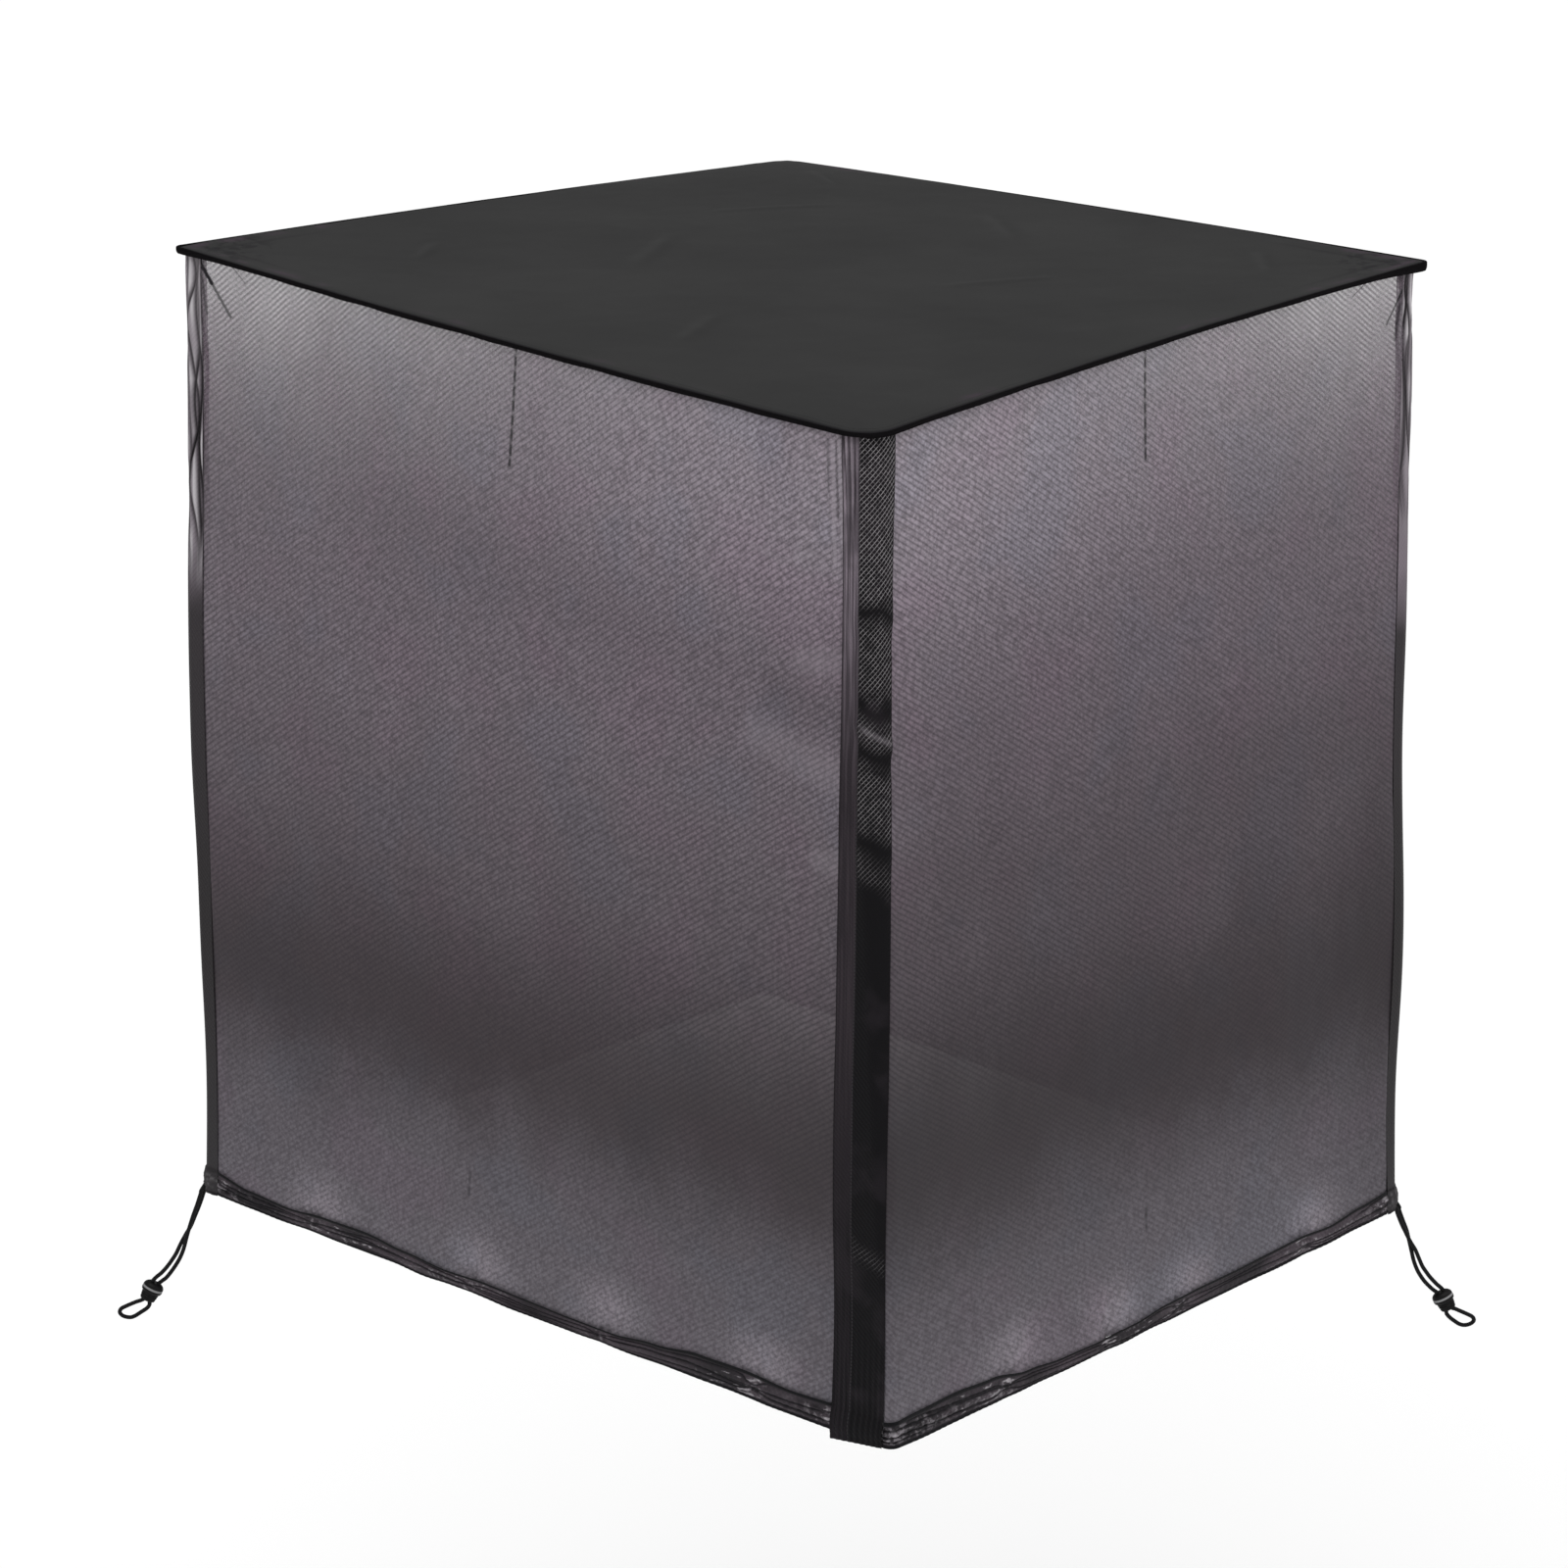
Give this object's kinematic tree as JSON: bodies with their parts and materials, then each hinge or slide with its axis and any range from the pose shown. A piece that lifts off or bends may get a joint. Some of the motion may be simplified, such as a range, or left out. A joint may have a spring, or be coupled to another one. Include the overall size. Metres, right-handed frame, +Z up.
{
  "type": "fitted net cover for an outdoor air conditioner",
  "caption": "Boxy fitted air conditioner cover in black: solid cloth top, sheer net sides with doubled corner strips, a gathered hem and drawcords with cord locks.",
  "frame": {"origin": "middle of the top panel's underside, where the cover rests on what it covers", "axes": "+Z up, +X to the right and -Y to the front when the front side is faced"},
  "size_m": [0.888, 0.9855, 1.0632],
  "materials": {
    "top_cloth": "matt coated plain weave",
    "binding_tape": "matt woven tape",
    "side_net": "sheer fine net",
    "strip_net": "doubled fine net",
    "cord_braid": "braided round cord",
    "lock_plastic": "satin moulded"
  },
  "bodies": {
    "root": {"top_panel": "top_cloth", "top_binding": "binding_tape", "side_front": "side_net", "side_right": "side_net", "side_back": "side_net", "side_left": "side_net", "corner_front_left": "strip_net", "corner_front_right": "strip_net", "corner_back_right": "strip_net", "corner_back_left": "strip_net", "drawcord_left": "cord_braid", "drawcord_right": "cord_braid", "cord_lock_left": "lock_plastic", "cord_lock_right": "lock_plastic"}
  },
  "joints": []
}
